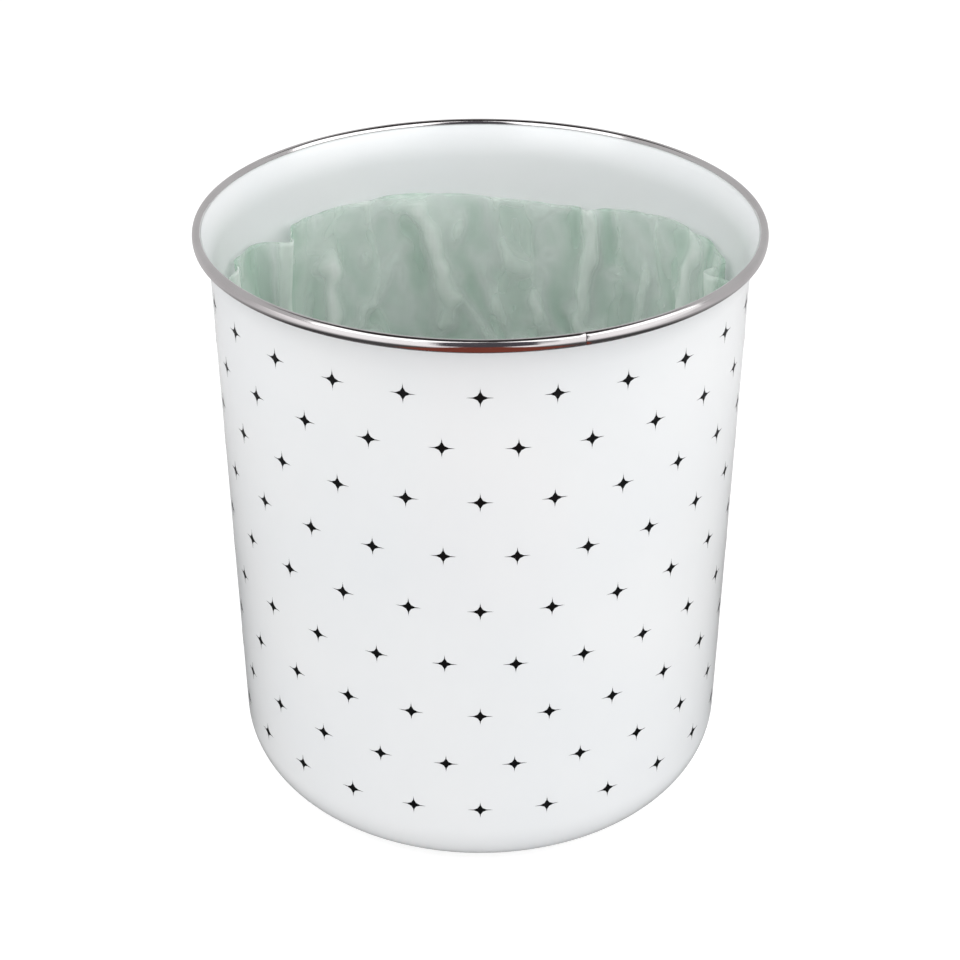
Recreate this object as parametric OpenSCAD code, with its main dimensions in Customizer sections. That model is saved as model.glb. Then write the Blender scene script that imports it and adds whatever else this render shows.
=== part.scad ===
// Open round compost caddy: a drawn and enamelled steel body, a stainless strip
// rolled round its lip, and a loose film bag inside.
// Millimetres, +Z up. The origin is the centre of the ring that the body stands on.

/* [Body] */
// Outside diameter at the top of the straight wall, where the flare starts
body_d = 200; // [150:1:260]
// Height from the table to the top of the rim
body_h = 233; // [160:1:300]
// Thickness of the enamelled sheet
sheet_t = 0.9; // [0.7:0.1:1.4]
// Outward lean of the wall, in degrees from the vertical
wall_lean = 1; // [0:0.1:3]
// Outside radius of the corner between the wall and the base
corner_r = 24; // [14:1:36]

/* [Base] */
// Width of the flat ring that the body stands on
stand_w = 5; // [3:0.5:10]
// Height of the recess inside the standing ring
recess_h = 1.5; // [0.8:0.1:2.5]
// Bend radius of the step between the standing ring and the recess
step_r = 2.5; // [1.5:0.1:4]

/* [Mouth] */
// Radius of the flare below the rim, on the outside of the sheet
flare_r = 29; // [20:1:40]
// Lean of the sheet at the top of the flare, in degrees from the vertical
flare_lean = 30; // [20:1:40]
// Inside radius of the rolled lip
lip_r = 0.2; // [0.1:0.05:0.8]
// Straight edge of the lip, below its roll
lip_tail = 0.8; // [0.2:0.1:1.2]

/* [Rim band] */
// Thickness of the stainless strip
band_t = 0.4; // [0.3:0.05:0.5]
// Height of the band on the outside, from the top of the rim
band_h = 4.1; // [3.8:0.1:6]
// Straight leg of the band on the inside, below its round top
band_leg = 0.7; // [0.3:0.1:2]
// Outside radius of the corner under the band
band_corner_r = 1; // [0.6:0.1:1.2]
// Gap at the butt joint, where the ends of the strip meet
seam_gap = 0.25; // [0.1:0.05:0.6]
// Place of the butt joint, in degrees anticlockwise from +X
seam_angle = -71.5; // [-180:0.5:180]
// Clearance between the band and the sheet that it is closed over
band_clear = 0.05; // [0.02:0.01:0.1]

/* [Liner bag] */
// Mean drop of the bag's hem below the top of the rim
hem_drop = 29; // [20:1:60]
// Half the height of the waves in the hem
hem_wave = 4; // [0:0.5:8]
// Number of upright folds in the bag's wall
fold_count = 13; // [6:1:20]
// Depth of the folds at the hem
fold_depth = 7.5; // [1:0.5:9]
// Depth of the folds at the bottom of the wall
fold_foot = 4; // [0:0.5:5]
// Thickness of the bag's solid, which stands for a much thinner film
film_t = 0.6; // [0.4:0.1:1]
// Clearance between the bag and the wall round it
film_clear = 0.5; // [0.3:0.1:2]
// Clearance between the bag and the floor under it
floor_clear = 0.3; // [0.2:0.1:1]

/* [Hidden] */
$fn = 128;

// Centre of the round top, shared by the rolled lip and the band that is closed over it.
bead_r = lip_r + sheet_t + band_clear + band_t;
bead_z = body_h - bead_r;

// Flare: its arc has its centre outside the body and ends where the roll of the lip starts.
flare_top_z = bead_z + lip_r * sin(flare_lean);
flare_cz = flare_top_z - flare_r * sin(flare_lean);
flare_cx = body_d / 2 + flare_r * cos(wall_lean);
bead_x = flare_cx - (flare_r - lip_r) * cos(flare_lean);

// Straight wall, from the base corner to the flare, on the outside of the sheet.
wall_top = [body_d / 2, flare_cz + flare_r * sin(wall_lean)];
wall_foot_z = corner_r * (1 - sin(wall_lean));
wall_foot = [wall_top.x - (wall_top.y - wall_foot_z) * tan(wall_lean), wall_foot_z];
corner_c = [wall_foot.x - corner_r * cos(wall_lean), corner_r];

// Base: two equal bends carry the sheet from the standing ring up to the recess.
ring_in = corner_c.x - stand_w;
bends_r = 2 * step_r + sheet_t;
bend_angle = acos(1 - recess_h / bends_r);
recess_x = ring_in - bends_r * sin(bend_angle);

// Band: the corner under it, and the leg that reaches in to the flare.
band_out = bead_x + bead_r;
band_foot = body_h - band_h;
band_corner_z = band_foot + band_corner_r;
under_z = band_foot + band_t;
under_in = flare_cx - sqrt(pow(flare_r, 2) - pow(under_z - flare_cz, 2)) + band_clear;
seam_deg = seam_gap / band_out * 180 / PI;

// Bag: its outside follows the inside of the sheet, a clearance away.
bag_floor = recess_h + sheet_t + floor_clear;
bag_corner_r = corner_r - sheet_t - film_clear;
hem_z = body_h - hem_drop;
bag_sides = 120;
bag_corner_rings = 4;
bag_wall_rings = 8;
// The hem's line adds two waves. Each has its crests in a turn, its share of the height and its start.
hem_waves = [[3, 0.6, 20], [5, 0.4, -70]];
// Two slow waves crowd the folds in places and spread them in others. Each has its crests in a turn,
// its size in degrees and its start.
fold_waves = [[2, 5, 30], [3, 2.5, -50]];
// The depth of the folds swells and fades: crests in a turn, share of the depth and start.
fold_swell = [5, 0.25, 40];
// Each upright fold is a broad pleat with finer creases on it. Both drift sideways as they rise.
pleat_share = 0.72;
pleat_drift = 50;
crease_drift = -60;
crease_wander = 25;
// The base of the bag meets the corner's arc where that arc is as high as the bag's floor.
bag_foot_angle = asin(max(-1, (bag_floor - corner_r) / bag_corner_r));

// A strip of sheet bent round centre c, from radius r outward by t, between two angles.
module bent_strip(c, r, t, from, to) {
    reach = 2 * (r + t);
    mid = (from + to) / 2;
    translate(c)
        intersection() {
            difference() {
                circle(r = r + t);
                circle(r = r);
            }
            polygon([
                [0, 0],
                reach * [cos(from), sin(from)],
                reach * [cos(mid), sin(mid)],
                reach * [cos(to), sin(to)]
            ]);
        }
}

// A straight strip of sheet from a to b, with its thickness t to the left of that way.
module straight_strip(a, b, t) {
    way = (b - a) / norm(b - a);
    side = t * [-way.y, way.x];
    polygon([a, b, b + side, a + side]);
}

// Half section of the body, from the middle of its base to the edge of the rolled lip.
module body_section() {
    // Recess and step
    straight_strip([0, recess_h], [recess_x, recess_h], sheet_t);
    bent_strip([recess_x, recess_h - step_r], step_r, sheet_t, 90 - bend_angle, 90);
    bent_strip([ring_in, step_r + sheet_t], step_r, sheet_t, 270 - bend_angle, 270);
    // Standing ring and corner
    straight_strip([ring_in, 0], [corner_c.x, 0], sheet_t);
    bent_strip(corner_c, corner_r - sheet_t, sheet_t, -90, -wall_lean);
    // Wall and flare
    straight_strip(wall_foot, wall_top, sheet_t);
    bent_strip([flare_cx, flare_cz], flare_r, sheet_t, 180 - flare_lean, 180 - wall_lean);
    // Rolled lip
    bent_strip([bead_x, bead_z], lip_r, sheet_t, 0, 180 - flare_lean);
    translate([bead_x + lip_r, bead_z - lip_tail])
        square([sheet_t, lip_tail]);
}

// Hook section of the band: leg, round top, outer face, corner and the leg under the lip.
module band_section() {
    leg_top = [bead_x, bead_z] + bead_r * [-cos(flare_lean), sin(flare_lean)];
    leg_way = [sin(flare_lean), cos(flare_lean)];
    leg_side = [cos(flare_lean), -sin(flare_lean)];
    leg_foot = leg_top - band_leg * leg_way;
    straight_strip(leg_top, leg_foot, band_t);
    // The edge of the strip is rounded over where a hand meets it.
    translate(leg_foot + band_t / 2 * leg_side)
        circle(r = band_t / 2);
    bent_strip([bead_x, bead_z], bead_r - band_t, band_t, 0, 180 - flare_lean);
    translate([band_out - band_t, band_corner_z])
        square([band_t, bead_z - band_corner_z]);
    bent_strip([band_out - band_corner_r, band_corner_z], band_corner_r - band_t, band_t, -90, 0);
    translate([under_in, band_foot])
        square([band_out - band_corner_r - under_in, band_t]);
}

module enamel_body() {
    color("white")
        rotate_extrude()
            body_section();
}

// The strip stops short of a full turn by the gap at its butt joint.
module rim_band() {
    color("silver")
        rotate([0, 0, seam_angle + seam_deg / 2])
            rotate_extrude(angle = 360 - seam_deg)
                band_section();
}

// Sum, at angle a, of waves that each have their crests in a turn, their size and their start.
function waves_at(waves, a) = waves * [0, 1, 0] * [for (w = waves) sin(w[0] * a + w[2])];

// Height of the hem at angle a.
function hem_at(a) = hem_z + hem_wave * waves_at(hem_waves, a);

// Depth of the folds at angle a, as a share from 0 to 1, where up is 0 at the foot and 1 at the hem.
function fold_way(a) = fold_count * (a + waves_at(fold_waves, a));
function swell(a) = 1 - fold_swell[1] * (1 - sin(fold_swell[0] * a + fold_swell[2]));
function pleat(a, up) = pow(abs(sin(fold_way(a) / 2 + pleat_drift * up)), 3);
function crease(a, up) = pow(sin(fold_way(a) + crease_wander * sin(2 * a) + crease_drift * up), 2);
function fold_at(a, up) = swell(a) * (pleat_share * pleat(a, up) + (1 - pleat_share) * crease(a, up));

// Radius of the inside of the straight wall at height z.
function wall_in(z) = wall_foot.x - sheet_t / cos(wall_lean) + (z - wall_foot_z) * tan(wall_lean);

// One point of the bag at angle a on ring j, moved inward by t for its inner face.
function bag_point(j, a, t) =
    j <= bag_corner_rings
    ? let (
        b = bag_foot_angle + (-wall_lean - bag_foot_angle) * j / bag_corner_rings,
        r = bag_corner_r - t,
        x = corner_c.x + r * cos(b) - fold_foot * pow(j / bag_corner_rings, 2) * fold_at(a, 0)
    ) [x * cos(a), x * sin(a), max(corner_r + r * sin(b), bag_floor + t)]
    : let (
        up = (j - bag_corner_rings) / bag_wall_rings,
        z = wall_foot_z + (hem_at(a) - wall_foot_z) * up,
        depth = fold_foot + (fold_depth - fold_foot) * up,
        x = wall_in(z) - film_clear - t - depth * fold_at(a, up)
    ) [x * cos(a), x * sin(a), z];

// The bag: an outer and an inner skin of rings, joined at the hem and closed at the base.
module liner_bag() {
    rings = bag_corner_rings + bag_wall_rings;
    skin = (rings + 1) * bag_sides;
    turn = 360 / bag_sides;
    outer = [for (j = [0:rings], i = [0:bag_sides - 1]) bag_point(j, i * turn, 0)];
    inner = [for (j = [0:rings], i = [0:bag_sides - 1]) bag_point(j, i * turn, film_t)];
    centres = [[0, 0, bag_floor], [0, 0, bag_floor + film_t]];
    rows = [for (j = [0:rings - 1], i = [0:bag_sides - 1]) [j * bag_sides + i, j * bag_sides + (i + 1) % bag_sides]];
    sides = [for (i = [0:bag_sides - 1]) [i, (i + 1) % bag_sides]];
    top = rings * bag_sides;
    color("honeydew", 0.6)
        polyhedron(
            points = concat(outer, inner, centres),
            faces = concat(
                [for (e = rows) [e[0], e[0] + bag_sides, e[1]]],
                [for (e = rows) [e[1], e[0] + bag_sides, e[1] + bag_sides]],
                [for (e = rows) [skin + e[0], skin + e[1], skin + e[0] + bag_sides]],
                [for (e = rows) [skin + e[1], skin + e[1] + bag_sides, skin + e[0] + bag_sides]],
                [for (e = sides) [top + e[0], skin + top + e[0], top + e[1]]],
                [for (e = sides) [top + e[1], skin + top + e[0], skin + top + e[1]]],
                [for (e = sides) [2 * skin, e[0], e[1]]],
                [for (e = sides) [2 * skin + 1, skin + e[1], skin + e[0]]]
            )
        );
}

enamel_body();
rim_band();
liner_bag();
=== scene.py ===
"""Looks of an open enamelled compost caddy with a liner bag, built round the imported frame.

Metres, +Z up, in the frame's own axes: the caddy stands on the floor with its axis on Z, and -Y is
its front. Each sub-assembly is a class that builds its mesh and dresses it.
"""

import functools
import logging
import math
from collections.abc import Iterator
from contextlib import contextmanager
from dataclasses import dataclass, field
from enum import Enum

import bpy
import numpy as np
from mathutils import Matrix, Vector, noise


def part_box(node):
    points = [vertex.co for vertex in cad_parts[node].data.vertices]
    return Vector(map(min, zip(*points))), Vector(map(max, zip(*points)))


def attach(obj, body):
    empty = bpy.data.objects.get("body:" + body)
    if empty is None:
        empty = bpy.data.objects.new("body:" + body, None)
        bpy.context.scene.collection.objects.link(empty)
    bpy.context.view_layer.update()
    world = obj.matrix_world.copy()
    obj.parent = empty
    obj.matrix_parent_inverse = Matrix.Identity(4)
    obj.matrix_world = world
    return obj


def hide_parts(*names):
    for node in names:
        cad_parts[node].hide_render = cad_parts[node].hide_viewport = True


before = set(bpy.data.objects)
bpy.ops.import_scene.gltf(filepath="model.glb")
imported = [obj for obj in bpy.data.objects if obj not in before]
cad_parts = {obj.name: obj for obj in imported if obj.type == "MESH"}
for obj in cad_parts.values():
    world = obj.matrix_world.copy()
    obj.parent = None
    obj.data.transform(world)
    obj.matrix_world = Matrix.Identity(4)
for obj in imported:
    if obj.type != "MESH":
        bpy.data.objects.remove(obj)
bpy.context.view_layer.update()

LOG = logging.getLogger("caddy")
MM = 0.001
MERGE_DISTANCE = 2e-6
FULL_TURN = 2 * math.pi
FOLD = "fold"

Point = tuple[float, float]
Point3 = tuple[float, float, float]
Colour = tuple[float, float, float]
Piece = bpy.types.Object
Material = bpy.types.Material
Tree = bpy.types.NodeTree
Node = bpy.types.Node
Socket = bpy.types.NodeSocket

UNIT: Point = (0.0, 1.0)


# ---------------------------------------------------------------- shared modelling


def cosine(degrees: float) -> float:
    """Give the cosine of an angle in degrees."""
    return math.cos(math.radians(degrees))


def sine(degrees: float) -> float:
    """Give the sine of an angle in degrees."""
    return math.sin(math.radians(degrees))


@dataclass(frozen=True)
class Line:
    """A straight move of a section, in equal parts."""

    to: Point
    parts: int = 1


@dataclass(frozen=True)
class Arc:
    """A move of a section round a centre, between two angles in degrees from the way out."""

    centre: Point
    radius: float
    start: float
    end: float
    parts: int

    def at(self, degrees: float) -> Point:
        """Give the point of the arc at an angle."""
        return (self.centre[0] + self.radius * cosine(degrees), self.centre[1] + self.radius * sine(degrees))


class Section:
    """Half section of a turned piece, as moves through points of radius and height."""

    def __init__(self, start: Point) -> None:
        """Start the section.

        Args:
            start: The first point.
        """
        self.start = start
        self.end = start
        self.moves: list[Line | Arc] = []

    def line(self, to: Point, parts: int = 1) -> "Section":
        """Go straight on to a point.

        Args:
            to: Where the line ends.
            parts: How many equal parts it is drawn in.

        Returns:
            The section itself.
        """
        self.moves.append(Line(to, parts))
        self.end = to
        return self

    def arc(self, centre: Point, radius: float, start: float, end: float, parts: int) -> "Section":
        """Go round a centre, after a line to the arc's start where the section isn't there yet.

        Args:
            centre: The arc's centre.
            radius: Its radius.
            start: The angle that it starts at, in degrees from the way out.
            end: The angle that it ends at.
            parts: How many parts it is drawn in.

        Returns:
            The section itself.
        """
        arc = Arc(centre, radius, start, end, parts)
        if math.dist(arc.at(start), self.end) > MERGE_DISTANCE:
            self.line(arc.at(start))
        self.moves.append(arc)
        self.end = arc.at(end)
        return self


def deselect_all() -> None:
    """Leave nothing selected, so that an operator acts on the new piece alone."""
    bpy.ops.object.select_all(action="DESELECT")


def pick(piece: Piece) -> None:
    """Select one piece alone and make it the active one.

    Args:
        piece: The piece.
    """
    deselect_all()
    piece.select_set(True)
    bpy.context.view_layer.objects.active = piece


@contextmanager
def editing(piece: Piece, action: str = "SELECT") -> Iterator[None]:
    """Open a piece in edit mode, and close it again afterwards.

    Args:
        piece: The piece.
        action: SELECT to start with all of it selected, or DESELECT with none.

    Yields:
        Nothing: the piece is open meanwhile.
    """
    pick(piece)
    bpy.ops.object.mode_set(mode="EDIT")
    bpy.ops.mesh.select_all(action=action)
    yield
    bpy.ops.object.mode_set(mode="OBJECT")


def apply_modifiers(piece: Piece) -> None:
    """Apply every modifier of a piece in its order.

    Args:
        piece: The piece.
    """
    pick(piece)
    for name in [m.name for m in piece.modifiers]:
        bpy.ops.object.modifier_apply(modifier=name)


def start_vertex(name: str, place: Vector) -> Piece:
    """Add a piece of one vertex, to be drawn out from there.

    Args:
        name: The new object's name.
        place: Where the vertex is.

    Returns:
        The object, in edit mode with its vertex selected.
    """
    deselect_all()
    bpy.ops.mesh.primitive_plane_add(size=MM, location=(0, 0, 0))
    piece = bpy.context.object
    piece.name = name
    piece.data.name = name
    bpy.ops.object.mode_set(mode="EDIT")
    bpy.ops.mesh.merge(type="CENTER")
    bpy.ops.transform.translate(value=place)
    return piece


def draw_to(step: Vector, parts: int = 1) -> None:
    """Extrude the selected vertex along a step, in equal parts."""
    for _ in range(parts):
        bpy.ops.mesh.extrude_region_move(TRANSFORM_OT_translate={"value": step / parts})


def draw(name: str, section: Section) -> Piece:
    """Draw a section's line of edges in the plane of X and Z.

    Args:
        name: The new object's name.
        section: The section.

    Returns:
        The object, in edit mode with its last vertex selected.
    """
    here = Vector((section.start[0], 0.0, section.start[1]))
    piece = start_vertex(name, here)
    for move in section.moves:
        if isinstance(move, Line):
            there = Vector((move.to[0], 0.0, move.to[1]))
            draw_to(there - here, move.parts)
        else:
            there = Vector((move.at(move.end)[0], 0.0, move.at(move.end)[1]))
            sweep = math.radians(move.end - move.start)
            centre = (move.centre[0], 0.0, move.centre[1])
            bpy.ops.mesh.spin(steps=move.parts, angle=sweep, center=centre, axis=(0, 1, 0))
        here = there
    return piece


def turn(name: str, section: Section, steps: int, angle: float = FULL_TURN) -> Piece:
    """Turn a section round the Z axis, from the way of +X.

    Args:
        name: The new object's name.
        section: The half section. It is closed where its last point is its first.
        steps: How many steps the turn has.
        angle: How far it turns, in radians. Short of a full turn, the two ends are closed.

    Returns:
        The object, in object mode, with merged doubles and its faces outwards.
    """
    piece = draw(name, section)
    bpy.ops.mesh.select_all(action="SELECT")
    bpy.ops.mesh.spin(steps=steps, angle=angle, center=(0, 0, 0), axis=(0, 0, 1))
    bpy.ops.mesh.select_all(action="SELECT")
    bpy.ops.mesh.remove_doubles(threshold=MERGE_DISTANCE)
    if angle < FULL_TURN:
        bpy.ops.mesh.fill_holes(sides=0)
        bpy.ops.mesh.select_all(action="SELECT")
    bpy.ops.mesh.normals_make_consistent(inside=False)
    bpy.ops.object.mode_set(mode="OBJECT")
    return piece


def smooth(piece: Piece, degrees: float = 35.0) -> None:
    """Shade a piece smooth, apart from its edges sharper than an angle."""
    pick(piece)
    bpy.ops.object.shade_smooth_by_angle(angle=math.radians(degrees))


def read_points(piece: Piece) -> np.ndarray:
    """Read a mesh's vertices.

    Args:
        piece: The piece.

    Returns:
        Rows of x, y and z.
    """
    points = np.empty(3 * len(piece.data.vertices))
    piece.data.vertices.foreach_get("co", points)
    return points.reshape(-1, 3)


def write_points(piece: Piece, points: np.ndarray) -> None:
    """Put a mesh's vertices where the rows say."""
    piece.data.vertices.foreach_set("co", points.ravel())
    piece.data.update()


# ---------------------------------------------------------------- shared material work


class Patch:
    """A material's node tree, with short ways to add and join nodes."""

    def __init__(self, tree: Tree) -> None:
        """Work on a node tree.

        Args:
            tree: A material's tree or a node group.
        """
        self.tree = tree

    def add(self, kind: str, **values: object) -> Node:
        """Add a node.

        Args:
            kind: The node's type without its prefix ShaderNode.
            values: Its properties by name.

        Returns:
            The new node.
        """
        node = self.tree.nodes.new(f"ShaderNode{kind}")
        for name, value in values.items():
            setattr(node, name, value)
        return node

    def join(self, source: Socket, target: Socket) -> None:
        """Join an output to an input."""
        self.tree.links.new(source, target)

    def feed(self, node: Node, **inputs: object) -> Node:
        """Fill a node's inputs by name, with underscores for spaces.

        Args:
            node: The node.
            inputs: A socket to join, or a plain value, for each input.

        Returns:
            The node itself.
        """
        for name, value in inputs.items():
            socket = node.inputs[name.replace("_", " ")]
            if isinstance(value, Socket):
                self.join(value, socket)
            else:
                socket.default_value = value
        return node

    def place(self) -> Socket:
        """Give the place on the piece, in its own axes."""
        return self.add("TexCoord").outputs["Object"]

    def apart(self, vector: Socket, axis: str) -> Socket:
        """Give one axis of a vector."""
        return self.feed(self.add("SeparateXYZ"), Vector=vector).outputs[axis]

    def stretch(self, vector: Socket, scale: Point3) -> Socket:
        """Scale a vector, so that a pattern on it is stretched where the scale is low."""
        return self.feed(self.add("Mapping"), Vector=vector, Scale=scale).outputs["Vector"]

    def noise(self, vector: Socket, scale: Socket | float, detail: float = 3.0) -> Socket:
        """Add a noise of a scale in turns a metre, and give its value."""
        node = self.feed(self.add("TexNoise"), Vector=vector, Scale=scale, Detail=detail)
        return node.outputs["Fac"]

    def spread(self, value: Socket, source: Point = UNIT, target: Point = UNIT) -> Socket:
        """Map a range of a value to another range, and hold it there.

        Args:
            value: The value.
            source: The range that it comes in.
            target: The range that it is given.

        Returns:
            The mapped value.
        """
        node = self.feed(self.add("MapRange"), Value=value, From_Min=source[0], From_Max=source[1])
        return self.feed(node, To_Min=target[0], To_Max=target[1]).outputs["Result"]

    def tint(self, share: Socket, first: Socket | Colour, second: Colour) -> Socket:
        """Mix two colours.

        Args:
            share: The share of the second colour.
            first: The first colour, as a socket or a plain colour.
            second: The second colour.

        Returns:
            The mixed colour.
        """
        node = self.add("Mix", data_type="RGBA")
        self.join(share, node.inputs["Factor"])
        if isinstance(first, Socket):
            self.join(first, node.inputs[6])
        else:
            node.inputs[6].default_value = (*first, 1.0)
        node.inputs[7].default_value = (*second, 1.0)
        return node.outputs[2]

    def sum(self, first: Socket, *others: Socket) -> Socket:
        """Add values in their order."""
        return functools.reduce(functools.partial(self.work, "ADD"), others, first)

    def product(self, first: Socket, second: Socket | float) -> Socket:
        """Multiply two values."""
        return self.work("MULTIPLY", first, second)

    def work(self, operation: str, first: Socket, second: Socket | float = 0.0) -> Socket:
        """Work out a value from one or two.

        Args:
            operation: The Math node's operation.
            first: The first value.
            second: The second, as a socket or a plain value.

        Returns:
            The result.
        """
        node = self.add("Math", operation=operation)
        self.join(first, node.inputs[0])
        if isinstance(second, Socket):
            self.join(second, node.inputs[1])
        else:
            node.inputs[1].default_value = second
        return node.outputs[0]

    def matt(self, grey: float) -> Socket:
        """Add a plain diffuse grey."""
        return self.feed(self.add("BsdfDiffuse"), Color=(grey, grey, grey, 1.0)).outputs[0]

    def glow(self, colour: Colour, strength: Socket | float = 1.0) -> Socket:
        """Add a glow of a colour."""
        return self.feed(self.add("Emission"), Color=(*colour, 1.0), Strength=strength).outputs[0]

    def blend(self, kind: str, *inputs: Socket) -> Socket:
        """Join shaders.

        Args:
            kind: AddShader, or MixShader, whose first input is the share of its last.
            inputs: What goes in, in order.

        Returns:
            The joined shader.
        """
        node = self.add(kind)
        for source, target in zip(inputs, node.inputs):
            self.join(source, target)
        return node.outputs[0]

    def ray(self, kind: str) -> Socket:
        """Give 1 for rays of a kind, and 0 for others."""
        return self.add("LightPath").outputs[f"Is {kind} Ray"]


class Effect(Enum):
    """The surface effects that more than one material uses."""

    UNEVEN = "uneven_surface"
    HAIRLINES = "hairlines"


def group_of(effect: Effect) -> Tree:
    """Give an effect's node group, built on its first use.

    Args:
        effect: The effect.

    Returns:
        Its node group.
    """
    found = bpy.data.node_groups.get(effect.value)
    if found is not None:
        return found
    builders = {Effect.UNEVEN: build_uneven, Effect.HAIRLINES: build_hairlines}
    return builders[effect](effect.value)


def new_group(name: str, inputs: dict[str, float], outputs: list[str]) -> tuple[Patch, dict, dict]:
    """Start a node group that reads Object coordinates.

    Args:
        name: The group's name.
        inputs: Its float inputs with their defaults.
        outputs: Its float outputs.

    Returns:
        The patch to build in, the inputs' sockets inside, and the outputs' sockets inside.
    """
    tree = bpy.data.node_groups.new(name, "ShaderNodeTree")
    for label, value in inputs.items():
        socket = tree.interface.new_socket(label, in_out="INPUT", socket_type="NodeSocketFloat")
        socket.default_value = value
    for label in outputs:
        tree.interface.new_socket(label, in_out="OUTPUT", socket_type="NodeSocketFloat")
    patch = Patch(tree)
    entry = tree.nodes.new("NodeGroupInput")
    leave = tree.nodes.new("NodeGroupOutput")
    return patch, {n: entry.outputs[n] for n in inputs}, {n: leave.inputs[n] for n in outputs}


def build_uneven(name: str) -> Tree:
    """Build the gentle unevenness of a fired or moulded surface.

    Args:
        name: The group's name.

    Returns:
        The group. Its Height is a soft ripple with a finer one on it, and its Mask a slow change.
    """
    patch, given, out = new_group(name, {"Ripple": 120.0, "Fine": 900.0, "Slow": 12.0}, ["Height", "Mask"])
    place = patch.place()
    fine = patch.spread(patch.noise(place, given["Fine"]), UNIT, (0.0, 0.12))
    patch.join(patch.sum(patch.noise(place, given["Ripple"], 2.0), fine), out["Height"])
    patch.join(patch.spread(patch.noise(place, given["Slow"], 4.0), (0.3, 0.7)), out["Mask"])
    return patch.tree


def build_hairlines(name: str) -> Tree:
    """Build fine lines that run round the Z axis, as polishing or wiping leaves them.

    Args:
        name: The group's name.

    Returns:
        The group. Its Lines go from 0 to 1 across the lines.
    """
    patch, given, out = new_group(name, {"Across": 5000.0, "Along": 9.0}, ["Lines"])
    place = patch.place()
    flat = patch.feed(patch.add("CombineXYZ"), X=patch.apart(place, "X"), Y=patch.apart(place, "Y"))
    reach = patch.add("VectorMath", operation="LENGTH")
    patch.join(flat.outputs["Vector"], reach.inputs[0])
    across = patch.product(patch.sum(reach.outputs["Value"], patch.apart(place, "Z")), given["Across"])
    lines = patch.feed(patch.add("CombineXYZ"), X=across, Y=patch.noise(place, given["Along"], 2.0))
    fine = patch.noise(lines.outputs["Vector"], 1.0, 2.0)
    patch.join(patch.spread(fine, (0.35, 0.65)), out["Lines"])
    return patch.tree


def start_material(name: str) -> tuple[Material, Patch, Node]:
    """Start a material.

    Args:
        name: The material's name.

    Returns:
        The material, its patch and its Principled shader.
    """
    material = bpy.data.materials.new(name)
    material.use_nodes = True
    return material, Patch(material.node_tree), material.node_tree.nodes["Principled BSDF"]


def dress(piece: Piece, material: Material) -> None:
    """Give a piece one material."""
    piece.data.materials.clear()
    piece.data.materials.append(material)


def place_effect(patch: Patch, effect: Effect, **inputs: float) -> Node:
    """Place an effect's group in a material with its own values."""
    node = patch.add("Group", node_tree=group_of(effect))
    return patch.feed(node, **inputs)


def start_stage(holder: Material | bpy.types.World, unused: str) -> tuple[Patch, Socket]:
    """Start the nodes of something in the studio.

    Args:
        holder: The material or the world.
        unused: Its first node, which is taken out.

    Returns:
        Its patch, and the input of its output node.
    """
    holder.use_nodes = True
    nodes = holder.node_tree.nodes
    nodes.remove(nodes[unused])
    output = next(node for node in nodes if node.bl_idname.startswith("ShaderNodeOutput"))
    return Patch(holder.node_tree), output.inputs["Surface"]


def start_uneven(
    name: str, colours: tuple[Colour, Colour], scales: Point3
) -> tuple[Material, Patch, Node, Node]:
    """Start a material whose colour drifts between two, over an uneven surface.

    Args:
        name: The material's name.
        colours: The two colours.
        scales: The scales of its ripple, its fine grain and its slow change, in turns a metre.

    Returns:
        The material, its patch, its Principled shader and the uneven effect's node.
    """
    material, patch, shader = start_material(name)
    ripple, fine, slow = scales
    uneven = place_effect(patch, Effect.UNEVEN, Ripple=ripple, Fine=fine, Slow=slow)
    patch.join(patch.tint(uneven.outputs["Mask"], *colours), shader.inputs["Base Color"])
    return material, patch, shader, uneven


def raise_surface(patch: Patch, shader: Node, height: Socket, strength: float, distance: float) -> None:
    """Feed a height to a shader's normal.

    Args:
        patch: The material's patch.
        shader: The Principled shader.
        height: The height, from 0 to 1.
        strength: The bump's strength.
        distance: How high 1 is, in metres.
    """
    bump = patch.feed(patch.add("Bump"), Height=height, Strength=strength, Distance=distance)
    patch.join(bump.outputs["Normal"], shader.inputs["Normal"])


# ---------------------------------------------------------------- finishes


@dataclass(frozen=True)
class Enamel:
    """Glossy fired enamel: off-white, a little cooler where it pools, with a faint ripple."""

    white: Colour = (0.86, 0.868, 0.872)
    pooled: Colour = (0.83, 0.846, 0.858)
    roughness: Point = (0.16, 0.24)
    scales: Point3 = (140.0, 2200.0, 14.0)
    bump: float = 0.35
    ripple_height: float = 0.05 * MM

    def build(self) -> Material:
        """Build the material.

        Returns:
            The material.
        """
        colours = (self.white, self.pooled)
        material, patch, shader, uneven = start_uneven("enamel_white", colours, self.scales)
        patch.join(patch.spread(uneven.outputs["Mask"], UNIT, self.roughness), shader.inputs["Roughness"])
        raise_surface(patch, shader, uneven.outputs["Height"], self.bump, self.ripple_height)
        patch.feed(shader, IOR=1.5)
        return material


@dataclass(frozen=True)
class PrintInk:
    """Black ceramic ink, fired on the enamel: slightly softer gloss than the white."""

    black: Colour = (0.003, 0.003, 0.0035)
    worn: Colour = (0.007, 0.007, 0.0075)
    roughness: Point = (0.28, 0.42)
    scales: Point3 = (900.0, 5000.0, 60.0)
    bump: float = 0.2
    grain_height: float = 0.02 * MM
    gloss: float = 0.12

    def build(self) -> Material:
        """Build the material.

        Returns:
            The material.
        """
        material, patch, shader, uneven = start_uneven("ink_black", (self.black, self.worn), self.scales)
        patch.join(patch.spread(uneven.outputs["Mask"], UNIT, self.roughness), shader.inputs["Roughness"])
        raise_surface(patch, shader, uneven.outputs["Height"], self.bump, self.grain_height)
        patch.feed(shader, Specular_IOR_Level=self.gloss)
        return material


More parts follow.
